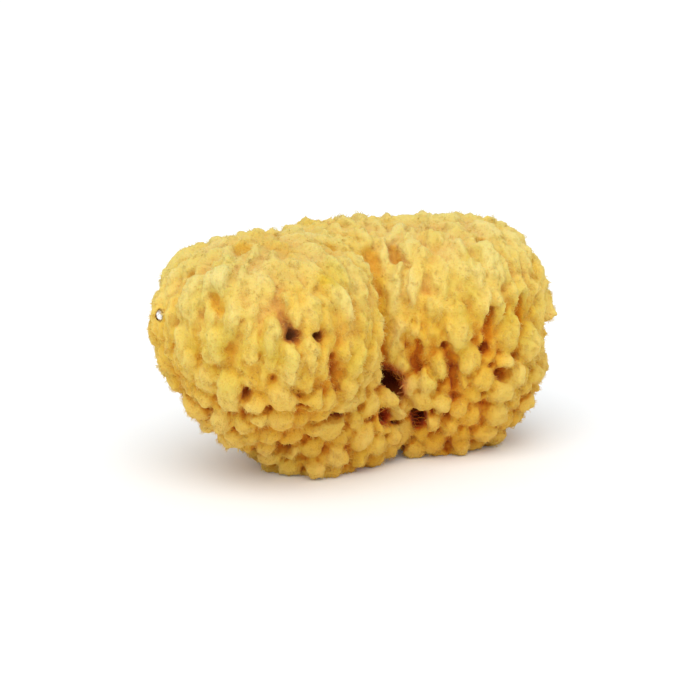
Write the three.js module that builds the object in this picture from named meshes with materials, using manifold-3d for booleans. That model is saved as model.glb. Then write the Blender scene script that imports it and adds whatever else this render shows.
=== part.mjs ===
// A natural bath sponge: the dried skeleton of a sea sponge, grown in one piece, so it is one mesh.
// Two swollen lobes stand side by side on a shared foot, with a deep furrow between them in front.
// The skin is packed with tufts, long locks above and round knobs below, with dark pits between them.
// Millimetres, +Z up. X runs along the sponge and the front, with the furrow, faces -Y.
import * as THREE from 'three';
import { ConvexGeometry } from 'three/addons/geometries/ConvexGeometry.js';
import { mergeVertices } from 'three/addons/utils/BufferGeometryUtils.js';
import Module from 'manifold-3d';

// The lobes. Each is a squared egg: half sizes along X and Y, its reach up and down from its centre,
// and how square its outline is above and below the centre (2 is an ellipse).
const LOBES = [
  { centre: [-35.5, -11.5, 57], half: [36.6, 36], up: 28.8, down: 44, square: [2.35, 1.7] }, // left, in front
  { centre: [38.6, 9.5, 52], half: [36.6, 34], up: 32, down: 54.5, square: [2.45, 2.35] }, // right, set back
  { centre: [-2.5, 16, 51], half: [44, 30], up: 31.8, down: 46, square: [2.4, 2.2] }, // back, joins the two
  { centre: [-13.5, -1.5, 26], half: [26, 24.5], up: 36, down: 31, square: [2.2, 2.2] }, // its foot
];
const BLEND = 10; // how tightly one lobe turns into the next
const SWELL = 1.5; // height of the slow swellings of the skin

// Every point of the skin is seen from the middle, along a ray that is bent backwards by BEND, as the
// sponge is kidney-shaped from above.
const MIDDLE = new THREE.Vector3(0, 0, 46);
const BEND = { left: -11, right: 10, from: -55, to: 0, furrow: 6, at: 8, width: 16 };
const FARTHEST = 140; // no point of the skin is farther from the middle than this
const HALVINGS = 26; // steps that find the skin along a ray

// The tufts
const TUFT_WIDTH = 7.8; // across a tuft of middle size
const TUFT_HEIGHT = 5.8; // of a tuft over the groove round it
const WIDTH_RANGE = [0.82, 1.18]; // of the middle size
const HEIGHT_RANGE = [0.75, 1.25];
const ROUND_LENGTH = 1.1; // a knob's length over its width
const LOCK_LENGTH = 2.3; // a lock's length over its width
const KNOBS_UP_TO = 34; // height at which knobs begin to stretch
const LOCKS_FROM = 58; // height at which they are full locks
const CROWN = [0.55, 0.95]; // upward part of the skin's normal where the crown begins and is full
const CROWN_HEIGHT = 0.62; // the crown's tufts are this much lower
const CROWN_LENGTH = 0.4; // and are stretched this much less
const SPACING = 1.62; // least distance between tuft centres, in half widths
const TRIES = 9000; // places tried for a tuft
const DOME = 1.3; // share of the way to a neighbour over which a tuft's side rises
const DOME_ROUND = 0.7; // less makes the tufts blunter

// How the skin is sampled into triangles
const LONG_TUFT = 1.6; // a tuft longer than this over its width has two crests
const CRESTS = { long: [-0.45, 0.45], round: [0] }; // places of the crests, in half lengths
const EDGES = { long: 14, round: 10 }; // spots looked at along the groove round a tuft
const SHOULDER = 0.45; // the shoulder's place, from the groove to the tuft's middle
const MOST_REACH = 1.6; // of a tuft past its half sizes, where no neighbour is met
const GROOVE_HALVINGS = 7;
const PIT_STEP = 4; // from one set of samples to the next along a slit
const PIT_RINGS = [[0, 1], [0.24, 6], [0.5, 7]]; // their radii, in widths of the pit, and counts
const ROOM = { pit: 1.3, crest: 2.2, groove: 2.1, shoulder: 2.1 }; // least distances between samples
const SAME = 1e-5; // corners closer than this are one

// Pits and slits in the skin. Each is laid along a path of points near the skin, and has a width and a
// depth under the floor of the grooves. The first is the furrow, and the second the dark hole at its foot.
const FLOOR_SHARE = 0.4; // share of a pit's width that is at its full depth
const PITS = [
  { path: [[7, -7, 77], [6, -14, 68], [7, -17, 58], [8, -18, 46], [9, -19, 38]], width: 8, depth: 3.5 },
  { path: [[8, -19, 34], [12, -16, 28], [13, -14, 23]], width: 8.5, depth: 15 },
  { path: [[5, -20, 19], [11, -12, 15]], width: 5, depth: 8 }, // two lesser holes below it
  { path: [[22, -16, 19], [23, -10, 10]], width: 5.5, depth: 8 },
  { path: [[-44, -45, 73], [-42, -48, 66], [-40, -49, 63]], width: 4, depth: 4 }, // the left lobe's front
  { path: [[-39, -49, 61]], width: 5.4, depth: 8 },
  { path: [[-30, -49, 59]], width: 4.6, depth: 5 },
  { path: [[-24, -47, 51], [-20, -42, 42]], width: 4.6, depth: 4 },
  { path: [[-62, -33, 73], [-61, -38, 68]], width: 5.5, depth: 3 },
  { path: [[-17, -31, 26]], width: 5, depth: 5 },
  { path: [[-34, -42, 35]], width: 4.6, depth: 4 },
  { path: [[-34, -22, 13]], width: 5, depth: 6 },
  { path: [[-54, -39, 40]], width: 4.5, depth: 3 },
  { path: [[16, -7, 79], [15, -14, 71]], width: 4, depth: 4 }, // the right lobe's front
  { path: [[19, -21, 47], [20, -20, 36]], width: 4.2, depth: 5 },
  { path: [[28, -25, 46], [31, -23, 29]], width: 4.8, depth: 6 },
  { path: [[45, -25, 57], [43, -26, 46]], width: 5, depth: 4 },
  { path: [[43, -26, 44]], width: 4, depth: 7 },
  { path: [[61, -18, 59], [61, -17, 48]], width: 6, depth: 4 },
  { path: [[51, -22, 34]], width: 4.6, depth: 4 },
  { path: [[-8, -1, 84]], width: 4.6, depth: 4 }, // the top
  { path: [[-45, -9, 86]], width: 5.5, depth: 4 },
  { path: [[-66, -16, 77]], width: 4.6, depth: 4 },
  { path: [[49, -9, 82]], width: 4.6, depth: 4 },
  { path: [[2, 20, 84]], width: 6, depth: 8 },
  { path: [[36, 22, 82]], width: 5, depth: 6 },
  { path: [[-34, 14, 84]], width: 5, depth: 6 },
  { path: [[20, 46, 52], [17, 46, 44]], width: 7, depth: 12 }, // the back
  { path: [[-32, 44, 58]], width: 6, depth: 8 },
  { path: [[58, 38, 46], [60, 36, 36]], width: 5, depth: 8 },
  { path: [[4, 40, 24]], width: 6.5, depth: 9 },
  { path: [[-8, 44, 74], [-4, 44, 64]], width: 4.6, depth: 6 },
  { path: [[40, 38, 72]], width: 5, depth: 6 },
  { path: [[-68, 10, 44], [-66, 12, 34]], width: 5, depth: 7 }, // the ends
  { path: [[72, 18, 58]], width: 5.5, depth: 7 },
  { path: [[70, 4, 36]], width: 5, depth: 6 },
];

// The gap under a lock at the left end, where the light shows through: a spot in its middle, the way
// in which it runs, its half sizes to the side and upwards, and the lock over it.
const GAP = { at: [-73, -0.7, 60.2], way: [0.258, 0.938, -0.233], half: [1.6, 2.4], length: 60, sides: 12 };
const GAP_LOCK = { wide: 5.5, long: 10, height: 6.3 };

const TO_CENTRE = [-0.8, 1.6, 0]; // brings the finished sponge over the origin

// A repeatable random number from 0 to 1
let seed = 20261;
function random() {
  seed = (seed * 16807) % 2147483647;
  return seed / 2147483647;
}

function randomIn([low, high]) {
  return low + (high - low) * random();
}

function smoothstep(x, from, to) {
  const t = Math.min(1, Math.max(0, (x - from) / (to - from)));
  return t * t * (3 - 2 * t);
}

// The gap is below zero inside the lobes and above zero outside, and is rounded where they meet. The
// weights tell whose skin it is.
function lobesAt(p) {
  let sum = 0;
  const weights = [];
  for (const lobe of LOBES) {
    const [x, y, z] = [p.x - lobe.centre[0], p.y - lobe.centre[1], p.z - lobe.centre[2]];
    const square = z > 0 ? lobe.square[0] : lobe.square[1];
    const plan = Math.hypot(x / lobe.half[0], y / lobe.half[1]);
    const side = Math.abs(z) / (z > 0 ? lobe.up : lobe.down);
    const gap = Math.pow(plan ** square + side ** square, 1 / square) - 1;
    weights.push(Math.exp(-BLEND * gap));
    sum += weights.at(-1);
  }
  return { gap: -Math.log(sum) / BLEND, weights: weights.map((w) => w / sum) };
}

// Slow swellings, with wavelengths of a few centimetres
function swell(p) {
  const around = Math.sin(p.x / 9.5 + 1.3) * Math.sin(p.z / 11 + 0.4);
  const across = Math.sin(p.y / 10 + 2.1) * Math.sin(p.z / 8.5 + p.x / 17);
  return (SWELL * (around + across)) / 2;
}

function bend(x) {
  const turn = BEND.left + (BEND.right - BEND.left) * smoothstep(x, BEND.from, BEND.to);
  return turn + BEND.furrow * Math.exp(-(((x - BEND.at) / BEND.width) ** 2));
}

function alongRay(direction, reach) {
  const p = MIDDLE.clone().addScaledVector(direction, reach);
  p.y += bend(p.x);
  return p;
}

function directionOf(p) {
  return new THREE.Vector3(p.x, p.y - bend(p.x), p.z).sub(MIDDLE).normalize();
}

// The floor of the grooves, along the ray with a given direction
function skinPoint(direction) {
  let [near, far] = [0, FARTHEST];
  for (let i = 0; i < HALVINGS; i++) {
    const half = (near + far) / 2;
    if (lobesAt(alongRay(direction, half)).gap < 0) near = half;
    else far = half;
  }
  return alongRay(direction, near + swell(alongRay(direction, near)));
}

function outward(p) {
  const step = 0.5;
  const slope = (axis) => {
    const [a, b] = [p.clone(), p.clone()];
    a[axis] += step;
    b[axis] -= step;
    return lobesAt(a).gap - lobesAt(b).gap;
  };
  return new THREE.Vector3(slope('x'), slope('y'), slope('z')).normalize();
}

// The way the locks are combed: down and away from the top of the lobe that they grow on
function combed(p, normal) {
  const { weights } = lobesAt(p);
  const flow = new THREE.Vector3(0, 0, -1);
  LOBES.forEach((lobe, i) => {
    flow.x += (weights[i] * (p.x - lobe.centre[0])) / lobe.half[0];
    flow.y += (weights[i] * (p.y - lobe.centre[1])) / lobe.half[1];
  });
  return flow.projectOnPlane(normal).normalize();
}

function makeTuft(direction) {
  const at = skinPoint(direction);
  const normal = outward(at);
  const along = combed(at, normal);
  const across = new THREE.Vector3().crossVectors(normal, along);
  const crown = smoothstep(normal.z, ...CROWN);
  const stretch = smoothstep(at.z, KNOBS_UP_TO, LOCKS_FROM) * (1 - (1 - CROWN_LENGTH) * crown);
  const wide = (TUFT_WIDTH / 2) * randomIn(WIDTH_RANGE);
  const long = wide * (ROUND_LENGTH + (LOCK_LENGTH - ROUND_LENGTH) * stretch);
  const height = TUFT_HEIGHT * (1 - (1 - CROWN_HEIGHT) * crown) * randomIn(HEIGHT_RANGE);
  return { at, normal, along, across, wide, long, height };
}

// How far q is from a tuft's middle, in its half widths across and half lengths along the comb
function tuftDistance(tuft, q) {
  const to = q.clone().sub(tuft.at);
  const sideways = Math.hypot(to.dot(tuft.across), to.dot(tuft.normal));
  return Math.hypot(to.dot(tuft.along) / tuft.long, sideways / tuft.wide);
}

// The lock over the gap comes first, and then a tuft wherever there is room for one
function scatterTufts() {
  const tufts = [{ ...makeTuft(directionOf(new THREE.Vector3(...GAP.at))), ...GAP_LOCK }];
  for (let i = 0; i < TRIES; i++) {
    const z = 2 * random() - 1;
    const turn = 2 * Math.PI * random();
    const flat = Math.sqrt(1 - z * z);
    const tuft = makeTuft(new THREE.Vector3(flat * Math.cos(turn), flat * Math.sin(turn), z));
    const clear = (other) => (tuftDistance(other, tuft.at) + tuftDistance(tuft, other.at)) / 2 > SPACING;
    if (tufts.every(clear)) tufts.push(tuft);
  }
  return tufts;
}

function makePit({ path, width, depth }) {
  const spots = path.map((spot) => skinPoint(directionOf(new THREE.Vector3(...spot))));
  const lines = spots.map((spot, i) => new THREE.Line3(spot, spots[Math.min(i + 1, spots.length - 1)]));
  return { lines, width, depth };
}

function pitDistance(pit, p) {
  const nearest = new THREE.Vector3();
  return Math.min(...pit.lines.map((line) => line.closestPointToPoint(p, true, nearest).distanceTo(p)));
}

const tufts = scatterTufts();
const pits = PITS.map(makePit);

// The height of the skin over the floor of the grooves: domes on the tufts, and below zero in a pit
function height(p) {
  let [nearest, next, tuft] = [Infinity, Infinity, null];
  for (const other of tufts) {
    const d = tuftDistance(other, p);
    if (d < nearest) [next, nearest, tuft] = [nearest, d, other];
    else if (d < next) next = d;
  }
  const rise = Math.min(1, (next - nearest) / DOME);
  let h = tuft.height * (1 - (1 - rise) ** 2) ** DOME_ROUND;
  for (const pit of pits) {
    const half = pit.width / 2;
    const sunk = 1 - smoothstep(pitDistance(pit, p), FLOOR_SHARE * half, half);
    h = h * (1 - sunk) - pit.depth * sunk;
  }
  return h;
}

// Points on the floor of the grooves that the mesh has a corner over: the pits, the tufts' crests, the
// grooves between the tufts, and the tufts' shoulders. None is too close to an earlier one.
const samples = [];
function sample(p, room) {
  const direction = directionOf(p);
  const at = skinPoint(direction);
  if (samples.every((other) => other.at.distanceTo(at) > room)) samples.push({ at, direction });
}

function ring(along, across, count) {
  const ways = [];
  for (let i = 0; i < count; i++) {
    const turn = (2 * Math.PI * (i + 0.5)) / count;
    ways.push(along.clone().multiplyScalar(Math.cos(turn)).addScaledVector(across, Math.sin(turn)));
  }
  return ways;
}

function samplePit({ lines, width }) {
  const stations = lines.flatMap((line) => {
    const count = Math.max(1, Math.round(line.distance() / PIT_STEP));
    return Array.from({ length: count }, (_, i) => line.at(i / count, new THREE.Vector3()));
  });
  for (const [share, count] of PIT_RINGS)
    for (const at of stations) {
      const normal = outward(at);
      const across = new THREE.Vector3(-normal.y, normal.x, 0).normalize();
      const ways = ring(new THREE.Vector3().crossVectors(normal, across), across, count);
      for (const way of ways) sample(at.clone().addScaledVector(way, share * width), ROOM.pit);
    }
}

function kindOf(tuft) {
  return tuft.long > LONG_TUFT * tuft.wide ? 'long' : 'round';
}

function sampleCrests(tuft) {
  for (const share of CRESTS[kindOf(tuft)])
    sample(tuft.at.clone().addScaledVector(tuft.along, share * tuft.long), ROOM.crest);
}

// The spot in the groove that is met on the way out from a tuft's middle
function grooveTowards(tuft, way) {
  const onSkin = (reach) => skinPoint(directionOf(tuft.at.clone().addScaledVector(way, reach)));
  let [near, far] = [0, MOST_REACH];
  for (let i = 0; i < GROOVE_HALVINGS; i++) {
    const half = (near + far) / 2;
    const p = onSkin(half);
    const own = tuftDistance(tuft, p);
    if (tufts.every((other) => tuftDistance(other, p) >= own)) near = half;
    else far = half;
  }
  return onSkin(near);
}

function grooveRound(tuft) {
  const along = tuft.along.clone().multiplyScalar(tuft.long);
  const across = tuft.across.clone().multiplyScalar(tuft.wide);
  return ring(along, across, EDGES[kindOf(tuft)]).map((way) => grooveTowards(tuft, way));
}

pits.forEach(samplePit);
tufts.forEach(sampleCrests);
const grooves = tufts.map(grooveRound);
for (const spot of grooves.flat()) sample(spot, ROOM.groove);
tufts.forEach((tuft, i) => {
  for (const spot of grooves[i]) sample(spot.clone().lerp(tuft.at, SHOULDER), ROOM.shoulder);
});

// The hull of the unit directions joins them into one closed skin, which is then pushed out to shape.
const hull = new ConvexGeometry(samples.map(({ direction }) => direction));
hull.deleteAttribute('normal');
const skin = mergeVertices(hull, SAME);
const corner = skin.getAttribute('position');
for (let i = 0; i < corner.count; i++) {
  const p = skinPoint(new THREE.Vector3().fromBufferAttribute(corner, i).normalize());
  p.addScaledVector(outward(p), height(p));
  corner.setXYZ(i, p.x, p.y, p.z);
}

const wasm = await Module();
wasm.setup();

function solidOf(geometry) {
  const bare = geometry.clone();
  bare.deleteAttribute('normal');
  bare.deleteAttribute('uv');
  const { index, attributes } = mergeVertices(bare, SAME);
  const [vertProperties, triVerts] = [attributes.position.array, new Uint32Array(index.array)];
  return new wasm.Manifold(new wasm.Mesh({ numProp: 3, vertProperties, triVerts }));
}

function geometryOf(solid) {
  const { vertProperties, triVerts } = solid.getMesh();
  return new THREE.BufferGeometry()
    .setAttribute('position', new THREE.BufferAttribute(vertProperties, 3))
    .setIndex(new THREE.BufferAttribute(triVerts, 1));
}

// The cut with which the sponge was taken off the rock leaves it flat below, and it rests on that.
const rock = new THREE.BoxGeometry(FARTHEST * 2, FARTHEST * 2, FARTHEST).translate(0, 0, -FARTHEST / 2);

const gapWay = new THREE.Vector3(...GAP.way).normalize();
const gap = new THREE.CylinderGeometry(1, 1, GAP.length, GAP.sides)
  .rotateX(Math.PI / 2)
  .scale(GAP.half[0], GAP.half[1], 1)
  .applyMatrix4(new THREE.Matrix4().lookAt(new THREE.Vector3(), gapWay, new THREE.Vector3(0, 0, 1)))
  .translate(...GAP.at);

// What the cuts leave loose is left out, so the largest piece is the sponge.
const pieces = solidOf(skin).subtract(solidOf(rock)).subtract(solidOf(gap)).decompose();
const body = pieces.reduce((a, b) => (a.volume() > b.volume() ? a : b));

const sponge = new THREE.Mesh(
  geometryOf(body).translate(...TO_CENTRE),
  new THREE.MeshStandardMaterial({ color: 0xe2b454, roughness: 0.95, metalness: 0 }),
);
sponge.name = 'sponge';
sponge.geometry.computeVertexNormals();

const part = new THREE.Group();
part.add(sponge);
export default part;
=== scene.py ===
"""A dry natural bath sponge on a pale floor.

The body is one tufted skin over four joined lobes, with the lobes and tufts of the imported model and
with finer ridges and lumps on them. Its pits are that model's too, but those in front and on top are
placed closer to the photo. Fine fibres stand all over it. Shapes are worked out in millimetres, with the
sponge a little off the origin, and are put in place at the end.
"""

import math

import bmesh
import bpy
import numpy as np
from mathutils import Matrix, Vector, noise
from mathutils.bvhtree import BVHTree


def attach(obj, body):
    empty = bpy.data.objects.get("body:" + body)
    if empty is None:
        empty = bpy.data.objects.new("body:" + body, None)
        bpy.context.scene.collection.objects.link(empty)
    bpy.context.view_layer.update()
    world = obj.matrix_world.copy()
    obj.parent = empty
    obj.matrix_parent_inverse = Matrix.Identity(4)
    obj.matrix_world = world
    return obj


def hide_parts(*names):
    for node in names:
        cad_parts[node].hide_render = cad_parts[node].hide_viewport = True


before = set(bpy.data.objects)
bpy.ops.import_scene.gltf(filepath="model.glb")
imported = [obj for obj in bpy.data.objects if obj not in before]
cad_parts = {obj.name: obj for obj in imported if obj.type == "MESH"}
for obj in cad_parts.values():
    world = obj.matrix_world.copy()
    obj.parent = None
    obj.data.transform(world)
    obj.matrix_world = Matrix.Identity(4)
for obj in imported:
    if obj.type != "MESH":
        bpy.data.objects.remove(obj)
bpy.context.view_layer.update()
MM = 0.001


# The camera. It looks from the sponge's front left, a little from above, and its picture of 700 pixels
# is 259 mm wide at the sponge's middle.

CAMERA_AZIMUTH = math.radians(-20)
CAMERA_ELEVATION = math.radians(14)
CAMERA_DISTANCE = 900
PICTURE_WIDTH = 259
SENSOR = 36
LOOKS_AT = Vector((-1.4, 0.6, 41.3))

camera_data = bpy.data.cameras.new("camera")
camera_data.sensor_width = SENSOR
camera_data.lens = SENSOR * CAMERA_DISTANCE / PICTURE_WIDTH
camera_data.clip_end = 20
camera = bpy.data.objects.new("camera", camera_data)
bpy.context.collection.objects.link(camera)
backwards = Vector(
    (
        math.sin(CAMERA_AZIMUTH) * math.cos(CAMERA_ELEVATION),
        -math.cos(CAMERA_AZIMUTH) * math.cos(CAMERA_ELEVATION),
        math.sin(CAMERA_ELEVATION),
    )
)
camera.location = (LOOKS_AT + backwards * CAMERA_DISTANCE) * MM
camera.rotation_euler = backwards.to_track_quat("Z", "Y").to_euler()
bpy.context.scene.camera = camera


# The form. Each lobe is a squared egg: half sizes along X and Y, its reach up and down from its centre,
# and how square its outline is above and below the centre. They are blended into one kidney-shaped body.

LOBES = [
    {"centre": (-35.5, -11.5, 57), "half": (36.6, 36), "up": 28.8, "down": 44, "square": (2.35, 1.7)},
    {"centre": (38.6, 9.5, 52), "half": (36.6, 34), "up": 32, "down": 54.5, "square": (2.45, 2.35)},
    {"centre": (-2.5, 16, 51), "half": (44, 30), "up": 31.8, "down": 46, "square": (2.4, 2.2)},
    {"centre": (-13.5, -1.5, 26), "half": (26, 24.5), "up": 36, "down": 31, "square": (2.2, 2.2)},
]
BLEND = 10
SWELL = 1.5
MIDDLE = np.array([0, 0, 46.0])
BEND = {"left": -11, "right": 10, "from": -55, "to": 0, "furrow": 6, "at": 8, "width": 16}
FARTHEST = 140
HALVINGS = 26
TO_CENTRE = np.array([-0.8, 1.6, 0])


def smoothstep(x, low, high):
    t = np.clip((x - low) / (high - low), 0, 1)
    return t * t * (3 - 2 * t)


def unit(v):
    return v / np.maximum(np.linalg.norm(v, axis=-1, keepdims=True), 1e-12)


def lobes_at(p):
    """The gap to the joined lobes, below zero inside them, and how much each lobe counts there."""
    gaps = []
    for lobe in LOBES:
        q = p - np.array(lobe["centre"])
        above = q[:, 2] > 0
        square = np.where(above, *lobe["square"])
        reach = np.where(above, lobe["up"], lobe["down"])
        plan = np.hypot(q[:, 0] / lobe["half"][0], q[:, 1] / lobe["half"][1])
        gaps.append((plan**square + (np.abs(q[:, 2]) / reach) ** square) ** (1 / square) - 1)
    pull = np.exp(-BLEND * np.array(gaps))
    total = pull.sum(axis=0)
    return -np.log(total) / BLEND, (pull / total).T


def swell(p):
    around = np.sin(p[:, 0] / 9.5 + 1.3) * np.sin(p[:, 2] / 11 + 0.4)
    across = np.sin(p[:, 1] / 10 + 2.1) * np.sin(p[:, 2] / 8.5 + p[:, 0] / 17)
    return SWELL * (around + across) / 2


def bend(x):
    turn = BEND["left"] + (BEND["right"] - BEND["left"]) * smoothstep(x, BEND["from"], BEND["to"])
    return turn + BEND["furrow"] * np.exp(-(((x - BEND["at"]) / BEND["width"]) ** 2))


def along_ray(direction, reach):
    p = MIDDLE + direction * reach[:, None]
    p[:, 1] += bend(p[:, 0])
    return p


def direction_of(p):
    q = np.array(p, float)
    q[:, 1] -= bend(q[:, 0])
    return unit(q - MIDDLE)


def skin_point(direction):
    """The floor of the grooves along each ray from the middle."""
    near = np.zeros(len(direction))
    far = np.full(len(direction), float(FARTHEST))
    for _ in range(HALVINGS):
        half = (near + far) / 2
        inside = lobes_at(along_ray(direction, half))[0] < 0
        near = np.where(inside, half, near)
        far = np.where(inside, far, half)
    return along_ray(direction, near + swell(along_ray(direction, near)))


def outward(p):
    step = 0.5
    slopes = []
    for axis in range(3):
        shift = np.zeros(3)
        shift[axis] = step
        slopes.append(lobes_at(p + shift)[0] - lobes_at(p - shift)[0])
    return unit(np.stack(slopes, axis=1))


def combed(p, normal):
    """The way the locks are combed, down and away from the top of the lobe that they grow on."""
    weights = lobes_at(p)[1]
    flow = np.tile([0.0, 0.0, -1.0], (len(p), 1))
    for i, lobe in enumerate(LOBES):
        flow[:, 0] += weights[:, i] * (p[:, 0] - lobe["centre"][0]) / lobe["half"][0]
        flow[:, 1] += weights[:, i] * (p[:, 1] - lobe["centre"][1]) / lobe["half"][1]
    return unit(flow - normal * (flow * normal).sum(axis=1, keepdims=True))


# The tufts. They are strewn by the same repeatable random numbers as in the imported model, so that each
# stands where its solid does.

TUFT_WIDTH = 7.8
TUFT_HEIGHT = 5.8
WIDTH_RANGE = (0.82, 1.18)
HEIGHT_RANGE = (0.75, 1.25)
ROUND_LENGTH = 1.1
LOCK_LENGTH = 2.3
KNOBS_UP_TO = 34
LOCKS_FROM = 58
CROWN = (0.55, 0.95)
CROWN_HEIGHT = 0.62
CROWN_LENGTH = 0.4
SPACING = 1.62
TRIES = 9000
GAP = {"at": (-73, -0.7, 60.2), "way": (0.258, 0.938, -0.233), "half": (1.6, 2.4), "length": 60}
GAP_LOCK = {"wide": 5.5, "long": 10, "height": 6.3}


def repeatable_numbers(count, seed=20261):
    numbers = []
    for _ in range(count):
        seed = seed * 16807 % 2147483647
        numbers.append(seed / 2147483647)
    return np.array(numbers)


def within(limits, share):
    return limits[0] + (limits[1] - limits[0]) * share


def make_tufts(direction, wide_share, height_share):
    at = skin_point(direction)
    normal = outward(at)
    along = combed(at, normal)
    crown = smoothstep(normal[:, 2], *CROWN)
    stretch = smoothstep(at[:, 2], KNOBS_UP_TO, LOCKS_FROM) * (1 - (1 - CROWN_LENGTH) * crown)
    wide = TUFT_WIDTH / 2 * within(WIDTH_RANGE, wide_share)
    return {
        "at": at,
        "normal": normal,
        "along": along,
        "across": np.cross(normal, along),
        "wide": wide,
        "long": wide * (ROUND_LENGTH + (LOCK_LENGTH - ROUND_LENGTH) * stretch),
        "height": TUFT_HEIGHT * (1 - (1 - CROWN_HEIGHT) * crown) * within(HEIGHT_RANGE, height_share),
    }


def tuft_distances(tufts, p):
    """How far each point is from each tuft, in the tuft's half widths and half lengths."""

    def part(way):
        return p @ tufts[way].T - (tufts["at"] * tufts[way]).sum(axis=1)

    sideways = np.hypot(part("across"), part("normal")) / tufts["wide"]
    return np.hypot(part("along") / tufts["long"], sideways)


def scatter_tufts():
    draws = repeatable_numbers(2 + 4 * TRIES)
    first = make_tufts(direction_of([GAP["at"]]), draws[:1], draws[1:2])
    for key, value in GAP_LOCK.items():
        first[key] = np.array([float(value)])
    z, turn, wide_share, height_share = draws[2:].reshape(TRIES, 4).T
    z = 2 * z - 1
    flat = np.sqrt(1 - z * z)
    ways = np.stack([flat * np.cos(2 * np.pi * turn), flat * np.sin(2 * np.pi * turn), z], axis=1)
    darts = make_tufts(ways, wide_share, height_share)
    tufts = {key: np.concatenate([first[key], darts[key]]) for key in darts}
    kept = [0]
    for i in range(1, TRIES + 1):
        others = {key: value[kept] for key, value in tufts.items()}
        one = {key: value[i : i + 1] for key, value in tufts.items()}
        there = tuft_distances(others, one["at"])[0]
        back = tuft_distances(one, others["at"])[:, 0]
        if ((there + back) / 2 > SPACING).all():
            kept.append(i)
    return {key: value[kept] for key, value in tufts.items()}


# The pits and slits, each along a path of points near the skin, with its width and its depth. The
# first is the furrow between the lobes, and the next three are the dark holes at its foot. The shallow
# ones let the light through, so they look orange, not dark.

PITS = [
    {
        "path": [(4, -7, 77), (1, -14, 68), (0, -18, 60), (2, -18, 50), (3, -19, 40)],
        "width": 12,
        "depth": 0.5,
    },
    {"path": [(5, -19, 36), (10, -16, 31), (10, -16, 25)], "width": 10, "depth": 12},
    {"path": [(2, -21, 22), (6, -18, 20)], "width": 7, "depth": 8},
    {"path": [(23, -16, 20), (22, -13, 14)], "width": 6.5, "depth": 7},
    {"path": [(-44, -45, 73), (-42, -48, 66), (-40, -49, 63)], "width": 4.4, "depth": 2.5},
    {"path": [(-39, -49, 61)], "width": 5.4, "depth": 8},
    {"path": [(-31, -49, 60)], "width": 6, "depth": 6},
    {"path": [(-25, -47, 52), (-22, -43, 43)], "width": 6, "depth": 2},
    {"path": [(-62, -33, 73), (-61, -38, 68)], "width": 6.5, "depth": -0.5},
    {"path": [(-17, -30, 27)], "width": 5, "depth": 5},
    {"path": [(-34, -42, 35)], "width": 4.6, "depth": 4},
    {"path": [(-34, -22, 13)], "width": 5, "depth": 6},
    {"path": [(-54, -39, 40)], "width": 4.5, "depth": 1.5},
    {"path": [(16, -4, 80), (15, -11, 75)], "width": 4.6, "depth": 1},
    {"path": [(19, -20, 48), (20, -20, 36)], "width": 4.4, "depth": 1.5},
    {"path": [(28, -23, 47), (32, -22, 30)], "width": 4.8, "depth": 2},
    {"path": [(45, -24, 58), (42, -24, 44)], "width": 5, "depth": 1},
    {"path": [(42, -24, 44)], "width": 5, "depth": 5},
    {"path": [(58, -19, 60), (58, -19, 49)], "width": 7, "depth": 1},
    {"path": [(51, -22, 34)], "width": 4.6, "depth": 2},
    {"path": [(-14, -15, 82)], "width": 5.5, "depth": 2},
    {"path": [(-47, -18, 85)], "width": 6.5, "depth": 1.5},
    {"path": [(-66, -18, 77)], "width": 4.6, "depth": 2.5},
    {"path": [(48, -10, 80)], "width": 5, "depth": 2},
    {"path": [(2, 20, 84)], "width": 6, "depth": 8},
    {"path": [(36, 22, 82)], "width": 5, "depth": 6},
    {"path": [(-34, 14, 84)], "width": 5, "depth": 6},
    {"path": [(20, 46, 52), (17, 46, 44)], "width": 7, "depth": 12},
    {"path": [(-32, 44, 58)], "width": 6, "depth": 8},
    {"path": [(58, 38, 46), (60, 36, 36)], "width": 5, "depth": 8},
    {"path": [(4, 40, 24)], "width": 6.5, "depth": 9},
    {"path": [(-8, 44, 74), (-4, 44, 64)], "width": 4.6, "depth": 6},
    {"path": [(40, 38, 72)], "width": 5, "depth": 6},
    {"path": [(-68, 10, 44), (-66, 12, 34)], "width": 5, "depth": 7},
    {"path": [(72, 18, 58)], "width": 5.5, "depth": 7},
    {"path": [(70, 4, 36)], "width": 5, "depth": 6},
]
HOLES = PITS[1:4]
# The pits tinted orange: partly a painted glow of the light let through them, partly the sponge's own
# orange spots.
ORANGE = [PITS[0], PITS[8], *PITS[13:17], PITS[18], *PITS[20:24]]
PIT_FLOOR = 0.05
PIT_EDGE = 1.5
PIT_TAPER = 0.6


def pit_reach(pit, p):
    """How far each point is from the middle of the pit, in half widths, which taper to its ends."""
    spots = skin_point(direction_of(pit["path"]))
    last = max(len(spots) - 1, 1)
    nearest = np.full(len(p), np.inf)
    for i, (a, b) in enumerate(zip(spots, [*spots[1:], spots[-1]])):
        line = b - a
        share = np.clip((p - a) @ line / max(line @ line, 1e-9), 0, 1)
        along = (i + share) / last if len(spots) > 1 else 0.5
        half = pit["width"] / 2 * (PIT_TAPER + (1 - PIT_TAPER) * np.sin(np.pi * along))
        nearest = np.minimum(nearest, np.linalg.norm(p - a - share[:, None] * line, axis=1) / half)
    return nearest


# The body: one closed skin. A fine ball is pushed out to the tufts and into the pits, remeshed so that
# bulging tufts run together, pierced by the gap at its left end, and given its finer lumps. Low down the
# tufts are round knobs set apart, and higher up they are ridged locks that run on end to end.

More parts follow.
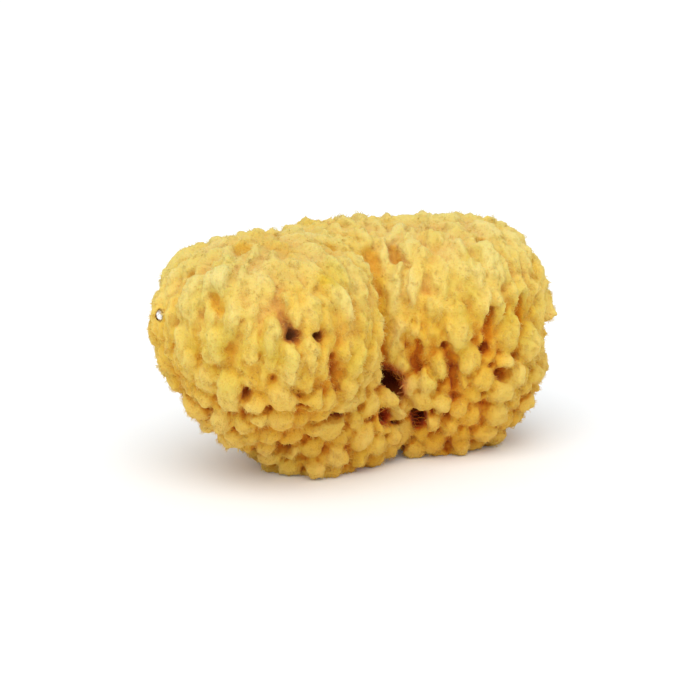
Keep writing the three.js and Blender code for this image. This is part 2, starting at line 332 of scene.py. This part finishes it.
BALL_STEPS = 8
WANDER = 1.5
WANDER_LENGTH = 6
GROOVE = 0.12
DOME = 1.3
DOME_ROUND = 0.6
ROUNDED = 0.5
ROUND_REACH = 1.3
END_FILL = 0.65
END_SHARPNESS = 4
KNOB_HEIGHT = 1.4
LOCK_LOWER = 0.45
SUNK = 2.2
LOCK_LESS_SUNK = 0.75
BULGE = 0.8
RIDGE = 0.95
RIDGE_HEIGHT = 3.9
RIDGE_LEVEL = 0.6
RIDGE_EDGE = 2
RIDGE_STRETCH = 0.32
RIDGE_SHIFTS = (3.7, 1.3)
KNOB_RIDGES = 0.22
LOCK_RIDGES = 0.78
SPIKES = [
    (72, -3, 50),
    (72, -3, 43),
    (72, -4, 37),
    (68, -5, 23),
    (65, -5, 17),
    (-64, 4, 72),
    (-64, -8, 34),
]
SPIKE_WIDTH = 1.8
SPIKE_HEIGHT = 3.6
VOXEL = 1.0
LUMP = 0.7
LUMP_LENGTH = 2.6
LUMP_FLATTENED = 0.75
LUMP_LEVEL = 0.6
LUMP_STEEPNESS = 1.6
GRAIN = 0.3
GRAIN_LENGTH = 1.5
GAP_SIDES = 24
GAP_CUTS = 50

tufts = scatter_tufts()
# Without a seed, noise_vector would take the time as its seed.
noise.seed_set(20261)


def wander(p):
    """A slow random shift, which makes the tufts' outlines less regular."""
    return np.array([noise.noise_vector(Vector(q) / WANDER_LENGTH) for q in p]) * WANDER


def end_to_end():
    """How much the groove between each two tufts is filled: most where long locks meet end to end."""
    to = unit(tufts["at"][None] - tufts["at"][:, None])
    lock = smoothstep(tufts["at"][:, 2], KNOBS_UP_TO, LOCKS_FROM)
    share = (to * tufts["along"][:, None]).sum(axis=2) ** END_SHARPNESS * lock[:, None]
    return END_FILL * (share + share.T) / 2


def nearest_tufts(p):
    """The nearest tuft to each point, how far it is, and how much farther the next one is."""
    near = np.empty(len(p), int)
    reach = np.empty(len(p))
    beyond = np.empty(len(p))
    fill = end_to_end()
    for some in np.array_split(np.arange(len(p)), 40):
        far = tuft_distances(tufts, p[some])
        near[some] = far.argmin(axis=1)
        reach[some] = far.min(axis=1)
        farther = far - reach[some][:, None] + fill[near[some]]
        farther[np.arange(len(some)), near[some]] = np.inf
        beyond[some] = farther.min(axis=1)
    return near, reach, beyond


def ridges(p, near):
    """1 on the crests of the ridges that a tuft is made of and 0 between them."""
    to = p - tufts["at"][near]
    along = (to * tufts["along"][near]).sum(axis=1) / tufts["long"][near]
    across = (to * tufts["across"][near]).sum(axis=1) / tufts["wide"][near]
    up = (to * tufts["normal"][near]).sum(axis=1) / tufts["wide"][near]
    along = along * RIDGE_STRETCH + near * RIDGE_SHIFTS[0]
    spots = np.stack([along, across + near * RIDGE_SHIFTS[1], up], axis=1) / RIDGE
    crest = np.empty(len(p))
    for i, spot in enumerate(spots):
        first, second = noise.voronoi(Vector(spot))[0][:2]
        crest[i] = min(1.0, (second - first) * RIDGE_EDGE)
    return 1 - (1 - crest) ** 2


def tufted(direction):
    """The point of the tufted skin along each ray."""
    floor = skin_point(direction)
    normal = outward(floor)
    looked_at = floor + wander(floor)
    near, reach, beyond = nearest_tufts(looked_at)
    rise = np.clip((beyond - GROOVE) / DOME, 0, 1)
    dome = (1 - (1 - rise) ** 2) ** DOME_ROUND
    ball = np.sqrt(np.clip(1 - (reach / ROUND_REACH) ** 2, 0, 1))
    lock = smoothstep(floor[:, 2], KNOBS_UP_TO, LOCKS_FROM)
    tall = KNOB_HEIGHT - LOCK_LOWER * lock
    height = tufts["height"][near] * dome * (1 - ROUNDED + ROUNDED * ball) * tall
    ridged = RIDGE_HEIGHT * (KNOB_RIDGES + LOCK_RIDGES * lock)
    height += ridged * (ridges(looked_at, near) - RIDGE_LEVEL) * dome
    height -= SUNK * (1 - LOCK_LESS_SUNK * lock)
    away = floor - tufts["at"][near]
    away = unit(away - normal * (away * normal).sum(axis=1, keepdims=True))
    aside = BULGE * np.sin(np.pi * rise)
    for pit in PITS:
        sunk = 1 - smoothstep(pit_reach(pit, looked_at), PIT_FLOOR, PIT_EDGE)
        height = height * (1 - sunk) - pit["depth"] * sunk
        aside *= 1 - sunk
    for spike in SPIKES:
        height += SPIKE_HEIGHT * np.exp(-((floor - spike) ** 2).sum(axis=1) / SPIKE_WIDTH**2)
    return floor + normal * height[:, None] + away * aside[:, None]


def positions(mesh):
    co = np.empty(len(mesh.vertices) * 3)
    mesh.vertices.foreach_get("co", co)
    return co.reshape(-1, 3)


def normals(mesh):
    n = np.empty(len(mesh.vertices) * 3)
    mesh.vertex_normals.foreach_get("vector", n)
    return n.reshape(-1, 3)


def move(mesh, p):
    mesh.vertices.foreach_set("co", np.ascontiguousarray(p).ravel())
    mesh.update()


def new_object(name, mesh):
    made = bpy.data.objects.new(name, mesh)
    bpy.context.collection.objects.link(made)
    return made


def with_modifiers_applied(obj):
    shape = obj.evaluated_get(bpy.context.evaluated_depsgraph_get())
    mesh = bpy.data.meshes.new_from_object(shape)
    obj.modifiers.clear()
    old = obj.data
    obj.data = mesh
    bpy.data.meshes.remove(old)
    return mesh


def remove(obj):
    mesh = obj.data
    bpy.data.objects.remove(obj)
    bpy.data.meshes.remove(mesh)


def make_gap():
    """The oval rod that is cut out at the left end."""
    rod = bmesh.new()
    bmesh.ops.create_cone(
        rod, cap_ends=True, segments=GAP_SIDES, radius1=1, radius2=1, depth=GAP["length"]
    )
    long_edges = [edge for edge in rod.edges if edge.calc_length() > GAP["length"] / 2]
    bmesh.ops.subdivide_edges(rod, edges=long_edges, cuts=GAP_CUTS)
    turned = Vector(GAP["way"]).to_track_quat("Z", "Y").to_matrix().to_4x4()
    bmesh.ops.transform(rod, matrix=Matrix.Diagonal((*GAP["half"], 1, 1)), verts=rod.verts)
    bmesh.ops.transform(rod, matrix=Matrix.Translation(GAP["at"]) @ turned, verts=rod.verts)
    mesh = bpy.data.meshes.new("gap")
    rod.to_mesh(mesh)
    rod.free()
    return new_object("gap", mesh)


def make_body():
    ball = bmesh.new()
    bmesh.ops.create_icosphere(ball, subdivisions=BALL_STEPS, radius=1)
    mesh = bpy.data.meshes.new("sponge_body")
    ball.to_mesh(mesh)
    ball.free()
    body = new_object("sponge_body", mesh)
    p = tufted(unit(positions(mesh)))
    p[:, 2] = np.maximum(p[:, 2], 0)
    move(mesh, p)
    remesh = body.modifiers.new("even_skin", "REMESH")
    remesh.mode = "VOXEL"
    remesh.voxel_size = VOXEL
    with_modifiers_applied(body)
    rod = make_gap()
    pierced = body.modifiers.new("gap", "BOOLEAN")
    pierced.operation = "DIFFERENCE"
    pierced.solver = "EXACT"
    pierced.object = rod
    mesh = with_modifiers_applied(body)
    remove(rod)
    return body, mesh


def add_lumps(mesh):
    p = positions(mesh)
    n = normals(mesh)
    rise = np.empty(len(p))
    for i, q in enumerate(p):
        spot = Vector((q[0], q[1], q[2] * LUMP_FLATTENED))
        near = noise.voronoi(spot / LUMP_LENGTH)[0][0]
        grain = noise.noise(spot / GRAIN_LENGTH)
        rise[i] = LUMP * (LUMP_LEVEL - near) * LUMP_STEEPNESS + GRAIN * grain
    p = p + n * rise[:, None]
    p[:, 2] = np.maximum(p[:, 2], 0)
    move(mesh, p)


# What the colours depend on is kept at each point of the body: how open it is and how high it stands on
# its tuft, both used to paint shade into the closed and deep places; whether it is in a dark hole, which
# gets painted shade; and whether it is in an orange pit, whose orange is partly painted glow of light let
# through and partly the sponge's own colour, or the orange-brown patch on the left lobe.

OPEN_RAYS = 12
OPEN_REACH = 9.0
OPEN_SPREAD = 0.94
OPEN_LIFT = 0.15
FAR_BLOCKS = 0.5
HOLE_EDGE = (0.9, 1.9)
ORANGE_EDGE = (0.8, 1.6)
ORANGE_SHARE = 0.85
AMBER_PATCH = np.array([-24, -40, 77])
AMBER_SIZE = 5.5


def openness(p, n, tree):
    """How open each point is to the outside, from 0 to 1."""
    turns = np.random.default_rng(7).random((OPEN_RAYS, 2))
    up = np.sqrt(1 - turns[:, 0] * OPEN_SPREAD)
    flat = np.sqrt(1 - up * up)
    around = 2 * np.pi * turns[:, 1]
    fan = [Vector(way) for way in np.stack([flat * np.cos(around), flat * np.sin(around), up], axis=1)]
    share = np.empty(len(p))
    for i in range(len(p)):
        normal = Vector(n[i])
        turned = normal.to_track_quat("Z", "Y").to_matrix()
        start = Vector(p[i]) + normal * OPEN_LIFT
        blocked = 0.0
        for way in fan:
            hit = tree.ray_cast(start, turned @ way, OPEN_REACH)[3]
            if hit is not None:
                blocked += 1 - FAR_BLOCKS * hit / OPEN_REACH
        share[i] = 1 - blocked / OPEN_RAYS
    return share


def add_values(mesh, values):
    for name, value in values.items():
        stored = mesh.attributes.new(name, "FLOAT", "POINT")
        stored.data.foreach_set("value", np.ascontiguousarray(value, np.float32))


def surface_values(p, n, mesh):
    """The values that the colours depend on, point by point."""
    floor = skin_point(direction_of(p))
    tree = BVHTree.FromPolygons(p.tolist(), [list(face.vertices) for face in mesh.polygons])
    # The mask of the dark holes, which get painted shade.
    in_hole = np.zeros(len(p))
    for pit in HOLES:
        in_hole = np.maximum(in_hole, 1 - smoothstep(pit_reach(pit, p), *HOLE_EDGE))
    near = nearest_tufts(p + wander(p))[0]
    # The orange-brown patch on the left lobe is the sponge's own colour; the orange round the furrow and
    # shallow pits is painted glow of light let through.
    amber_and_glow = np.exp(-(((p - AMBER_PATCH) ** 2).sum(axis=1) / AMBER_SIZE**2))
    for pit in ORANGE:
        amber_and_glow = np.maximum(amber_and_glow, ORANGE_SHARE * (1 - smoothstep(pit_reach(pit, p), *ORANGE_EDGE)))
    return {
        "height": ((p - floor) * outward(floor)).sum(axis=1),
        "open": openness(p, n, tree),
        "hole": in_hole,
        "tone": np.random.default_rng(5).random(len(tufts["at"]))[near],
        "amber_and_glow": amber_and_glow,
    }


body, body_mesh = make_body()
add_lumps(body_mesh)
body_points = positions(body_mesh)
body_normals = normals(body_mesh)
body_values = surface_values(body_points, body_normals, body_mesh)
add_values(body_mesh, body_values)


# Materials: dry spongin, pale yellow on the tips and orange-brown in the grooves, where the orange-brown
# is painted shade.


def linear(red, green, blue):
    """Linear colour from screen values of 0 to 255."""

    def one(value):
        share = value / 255
        return share / 12.92 if share <= 0.04045 else ((share + 0.055) / 1.055) ** 2.4

    return (one(red), one(green), one(blue), 1)


def add_node(tree, kind, inputs=None, **settings):
    node = tree.nodes.new(kind)
    for name, value in settings.items():
        setattr(node, name, value)
    for key, value in (inputs or {}).items():
        if isinstance(value, bpy.types.NodeSocket):
            tree.links.new(value, node.inputs[key])
        else:
            node.inputs[key].default_value = value
    return node


def attribute(tree, name):
    return add_node(tree, "ShaderNodeAttribute", attribute_name=name).outputs["Fac"]


def map_range(tree, value, low, high, to_low=0.0, to_high=1.0):
    inputs = {"Value": value, "From Min": low, "From Max": high, "To Min": to_low, "To Max": to_high}
    return add_node(tree, "ShaderNodeMapRange", inputs).outputs["Result"]


def ramp(tree, value, stops):
    node = add_node(tree, "ShaderNodeValToRGB", {"Fac": value})
    elements = node.color_ramp.elements
    while len(elements) < len(stops):
        elements.new(0.5)
    for element, (place, colour) in zip(elements, stops):
        element.position = place
        element.color = linear(*colour)
    return node.outputs["Color"]


def mix_colours(tree, share, a, b, way="MIX"):
    node = add_node(tree, "ShaderNodeMix", data_type="RGBA", blend_type=way)
    for key, value in (("Factor", share), (6, a), (7, b)):
        if isinstance(value, bpy.types.NodeSocket):
            tree.links.new(value, node.inputs[key])
        else:
            node.inputs[key].default_value = value
    return node.outputs[2]


def tinted(tree, share, colour, tint):
    """The colour, darkened by the tint where the share is 1."""
    return mix_colours(tree, share, colour, (*tint, 1), "MULTIPLY")


def spongin_colour(tree, place):
    """Colour by depth, darkened by painted shade in the grooves, pits and closed places, with broad
    patches, a paler top and browner underside as painted light and shade, and maroon painted shade in the
    holes.
    """
    # Painted shade: the colour darkens from pale yellow on the crests to orange-brown in the grooves and
    # deep red-brown in the pits.
    painted_shade_by_depth = ramp(
        tree,
        map_range(tree, attribute(tree, "height"), -6, 6),
        [
            (0.0, (122, 52, 8)),
            (0.35, (182, 100, 16)),
            (0.55, (222, 153, 38)),
            (0.76, (236, 201, 86)),
            (1.0, (240, 217, 128)),
        ],
    )
    # Painted shade: places hemmed in by the skin around them are darkened to brown.
    painted_shade_by_openness = ramp(
        tree,
        attribute(tree, "open"),
        [(0.0, (112, 50, 10)), (0.35, (184, 110, 38)), (0.6, (240, 204, 142)), (0.8, (255, 250, 238))],
    )
    height = add_node(tree, "ShaderNodeSeparateXYZ", {"Vector": place}).outputs["Z"]
    # The painted shade by openness counts fully low down and less on top.
    more_painted_shade_low_down = map_range(tree, height, 0.02, 0.07, 1.0, 0.6)
    colour = mix_colours(tree, more_painted_shade_low_down, painted_shade_by_depth, painted_shade_by_openness, "MULTIPLY")
    # Painted shade: the colour turns browner towards the bottom, away from the light above.
    colour = tinted(tree, map_range(tree, height, 0.075, 0.0), colour, (0.86, 0.72, 0.5))
    # A paler, creamier top: mostly painted light from above, in part the sponge's own bleached top.
    lit_and_bleached_top = map_range(tree, height, 0.055, 0.088, 0.0, 0.65)
    colour = mix_colours(tree, lit_and_bleached_top, colour, linear(222, 207, 140))
    patches = add_node(tree, "ShaderNodeTexNoise", {"Vector": place, "Scale": 42.0, "Detail": 2.0})
    colour = tinted(tree, map_range(tree, patches.outputs["Fac"], 0.48, 0.66), colour, (1.0, 0.92, 0.66))
    colour = tinted(tree, map_range(tree, patches.outputs["Fac"], 0.45, 0.32), colour, (0.95, 0.98, 0.81))
    colour = tinted(tree, attribute(tree, "tone"), colour, (0.95, 0.93, 0.76))
    # An orange tint: partly the sponge's own patch and spots, partly painted glow of light let through
    # the furrow and shallow pits.
    colour = tinted(tree, attribute(tree, "amber_and_glow"), colour, (0.98, 0.84, 0.3))
    # Painted shade: the dark holes are tinted deep maroon.
    return tinted(tree, attribute(tree, "hole"), colour, (0.85, 0.34, 0.5))


def spongin(name):
    """The skin's material, with the net of fibres and its pores as fine bumps, the pores also faintly
    darkened as painted shade.
    """
    material = bpy.data.materials.new(name)
    material.use_nodes = True
    tree = material.node_tree
    tree.nodes.clear()
    place = add_node(tree, "ShaderNodeTexCoord").outputs["Object"]
    colour = spongin_colour(tree, place)
    net = add_node(
        tree, "ShaderNodeTexVoronoi", {"Vector": place, "Scale": 950.0}, feature="DISTANCE_TO_EDGE"
    ).outputs["Distance"]
    pore = map_range(tree, net, 0.08, 0.45)
    fuzz = add_node(tree, "ShaderNodeTexNoise", {"Vector": place, "Scale": 2200.0, "Detail": 3.0})
    # Painted shade: the pores in the net are faintly darkened.
    pore_shaded = tinted(tree, pore, colour, (0.96, 0.9, 0.8))
    rough = add_node(
        tree, "ShaderNodeBump", {"Height": fuzz.outputs["Fac"], "Strength": 0.4, "Distance": 0.0004}
    )
    netted = add_node(
        tree,
        "ShaderNodeBump",
        {"Height": pore, "Strength": 0.4, "Distance": 0.0005, "Normal": rough.outputs["Normal"]},
        invert=True,
    )
    shader = add_node(
        tree,
        "ShaderNodeBsdfPrincipled",
        {
            "Base Color": pore_shaded,
            "Roughness": 0.9,
            "Specular IOR Level": 0.2,
            "Subsurface Weight": 0.2,
            "Subsurface Radius": (0.004, 0.002, 0.0006),
            "Subsurface Scale": 0.6,
            "Sheen Weight": 0.15,
            "Sheen Roughness": 0.5,
            "Sheen Tint": linear(255, 236, 180),
            "Normal": netted.outputs["Normal"],
        },
    )
    output = add_node(tree, "ShaderNodeOutputMaterial")
    tree.links.new(shader.outputs["BSDF"], output.inputs["Surface"])
    return material


skin_material = spongin("spongin")


# The fibres: short bent strands of the skeleton. They stand out of the skin in small pointed clumps,
# densest on the open sides and sparse on top. A few longer ones lie across the dark holes.

CLUMPS = 2600
CLUMP_LENGTH = (0.5, 1.4)
CLUMP_SPREAD = 0.6
LEAST_OPEN = 0.2
TOP_THINNING = 0.7
TOP_SLOPE = (0.2, 0.8)
COMBED = 0.35
TURNED = 0.35
STRANDS = 5
STRAND_ROOT = 0.5
STRAND_BOW = 0.35
STRAND_THICKNESS = (0.07, 0.12)
TIP_SPREAD = 0.35
BEND_SPREAD = 0.15
STRAND_PAINTED_LIFT = 1.8
STRAND_OPEN = 0.6
FIBRE_GROUPS = 4
SIDES = 3
NARROWED = 0.8
LOWEST = 0.05
HOLE_STRANDS = 260
HOLE_SPAN = 5
HOLE_RIM = (0.75, 1.35)
HOLE_PARTNERS = 40
HOLE_ROOT = 0.4
HOLE_CROSSED = 0.75
HOLE_BEND = 0.9
HOLE_THICKNESS = (0.12, 0.22)
HOLE_STRAND_PAINTED_LIFT = 1
HOLE_OPEN = 0.5
HOLE_STRAND_PAINTED_SHADE = (0.3, 0.9)


def make_strands(name, base, middle, tip, thick, values, material):
    """One mesh of three-sided strands, each with a bend in its middle and a pointed tip."""
    way = unit(tip - base)
    side = unit(np.cross(way, [0.31, 0.52, 0.79]))
    other = np.cross(way, side)
    corners = []
    for centre, share in ((base, 1.0), (middle, NARROWED)):
        for k in range(SIDES):
            turn = 2 * math.pi * k / SIDES
            corners.append(centre + thick * share * (side * math.cos(turn) + other * math.sin(turn)))
    p = np.stack([*corners, tip], axis=1).reshape(-1, 3)
    p[:, 2] = np.maximum(p[:, 2], LOWEST)
    one = [(0, 2, 1)]
    for k in range(SIDES):
        after = (k + 1) % SIDES
        one += [(k, after, SIDES + after), (k, SIDES + after, SIDES + k), (SIDES + k, SIDES + after, 6)]
    count = len(corners) + 1
    faces = (np.array(one)[None] + count * np.arange(len(base))[:, None, None]).reshape(-1, 3)
    mesh = bpy.data.meshes.new(name)
    mesh.from_pydata((p + TO_CENTRE) * MM, [], faces)
    add_values(mesh, {key: np.repeat(value, count) for key, value in values.items()})
    mesh.materials.append(material)
    strands = new_object(name, mesh)
    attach(strands, "root")
    return strands


def make_fibres(index):
    rng = np.random.default_rng(100 + index)
    weight = np.clip(body_values["open"] - LEAST_OPEN, 0, 1)
    weight = weight * (1 - TOP_THINNING * smoothstep(body_normals[:, 2], *TOP_SLOPE))
    clumps = rng.choice(len(body_points), CLUMPS, p=weight / weight.sum())
    normal = body_normals[clumps]
    comb = combed(body_points[clumps], normal)
    lean = unit(normal + comb * COMBED + rng.normal(size=normal.shape) * TURNED)
    point = body_points[clumps] + lean * rng.uniform(*CLUMP_LENGTH, (CLUMPS, 1))

    def each(value):
        return np.repeat(value, STRANDS, axis=0)

    count = CLUMPS * STRANDS
    offset = rng.normal(size=(count, 3)) * CLUMP_SPREAD
    normal = each(normal)
    offset -= normal * (offset * normal).sum(axis=1, keepdims=True)
    base = each(body_points[clumps]) + offset - normal * STRAND_ROOT
    tip = each(point) + rng.normal(size=(count, 3)) * TIP_SPREAD
    middle = (base + tip) / 2 + offset * STRAND_BOW + rng.normal(size=(count, 3)) * BEND_SPREAD
    thick = rng.uniform(*STRAND_THICKNESS, (count, 1))
    values = {key: each(value[clumps]) for key, value in body_values.items()}
    # Painted light: the strands' colour is lifted paler and less shaded than their roots', to offset
    # their own shading.
    values["height"] = values["height"] + STRAND_PAINTED_LIFT
    values["open"] = np.maximum(values["open"], STRAND_OPEN)
    make_strands(f"sponge_fibres_{index}", base, middle, tip, thick, values, skin_material)


def make_hole_strands():
    """Bare strands of the skeleton from the rim of each dark hole most of the way across it."""
    rng = np.random.default_rng(300)
    reach = np.min([pit_reach(pit, body_points) for pit in HOLES], axis=0)
    rim = np.flatnonzero((reach > HOLE_RIM[0]) & (reach < HOLE_RIM[1]))
    first = rng.choice(rim, HOLE_STRANDS)
    second = rng.choice(rim, (HOLE_STRANDS, HOLE_PARTNERS))
    apart = np.linalg.norm(body_points[second] - body_points[first][:, None], axis=2)
    second = second[np.arange(HOLE_STRANDS), np.abs(apart - HOLE_SPAN).argmin(axis=1)]
    base = body_points[first] - body_normals[first] * HOLE_ROOT
    tip = body_points[second] * HOLE_CROSSED + body_points[first] * (1 - HOLE_CROSSED)
    middle = (base + tip) / 2 + rng.normal(size=base.shape) * HOLE_BEND
    thick = rng.uniform(*HOLE_THICKNESS, (HOLE_STRANDS, 1))
    values = {key: value[first] for key, value in body_values.items()}
    # Painted light and shade: the strands across the holes are lifted a little paler, then darkened at
    # random by the holes' painted maroon shade.
    values["height"] = values["height"] + HOLE_STRAND_PAINTED_LIFT
    values["open"] = np.maximum(values["open"], HOLE_OPEN)
    values["hole"] = rng.uniform(*HOLE_STRAND_PAINTED_SHADE, HOLE_STRANDS)
    make_strands("sponge_fibres_holes", base, middle, tip, thick, values, skin_material)


move(body_mesh, (body_points + TO_CENTRE) * MM)
body_mesh.shade_smooth()
body_mesh.materials.append(skin_material)
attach(body, "root")
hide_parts("sponge")
for index in range(FIBRE_GROUPS):
    make_fibres(index)
make_hole_strands()


# The floor and the soft studio light.

floor_mesh = bpy.data.meshes.new("floor")
floor_sheet = bmesh.new()
bmesh.ops.create_grid(floor_sheet, x_segments=1, y_segments=1, size=6)
floor_sheet.to_mesh(floor_mesh)
floor_sheet.free()
floor = new_object("floor", floor_mesh)
floor.location.z = -0.0002
floor_material = bpy.data.materials.new("pale_floor")
floor_material.use_nodes = True
floor_shader = floor_material.node_tree.nodes["Principled BSDF"]
floor_shader.inputs["Base Color"].default_value = (0.94, 0.94, 0.94, 1)
floor_shader.inputs["Roughness"].default_value = 0.9
floor_shader.inputs["Specular IOR Level"].default_value = 0.1
# Painted light: the floor glows faintly bluish, which lifts its shadows and lights the sponge's underside
# a little.
floor_shader.inputs["Emission Color"].default_value = (0.8, 0.9, 1, 1)
floor_shader.inputs["Emission Strength"].default_value = 0.04
floor_mesh.materials.append(floor_material)

sun_data = bpy.data.lights.new("softbox", "SUN")
sun_data.energy = 1.9
sun_data.color = (1, 0.97, 0.92)
sun_data.angle = math.radians(60)
sun = bpy.data.objects.new("softbox", sun_data)
bpy.context.collection.objects.link(sun)
sun.rotation_euler = Vector((-0.3, -0.6, 1)).to_track_quat("Z", "Y").to_euler()

world = bpy.data.worlds.new("studio")
world.use_nodes = True
world.node_tree.nodes["Background"].inputs["Color"].default_value = (0.88, 0.94, 1, 1)
world.node_tree.nodes["Background"].inputs["Strength"].default_value = 0.72
bpy.context.scene.world = world
bpy.context.scene.view_settings.view_transform = "Standard"
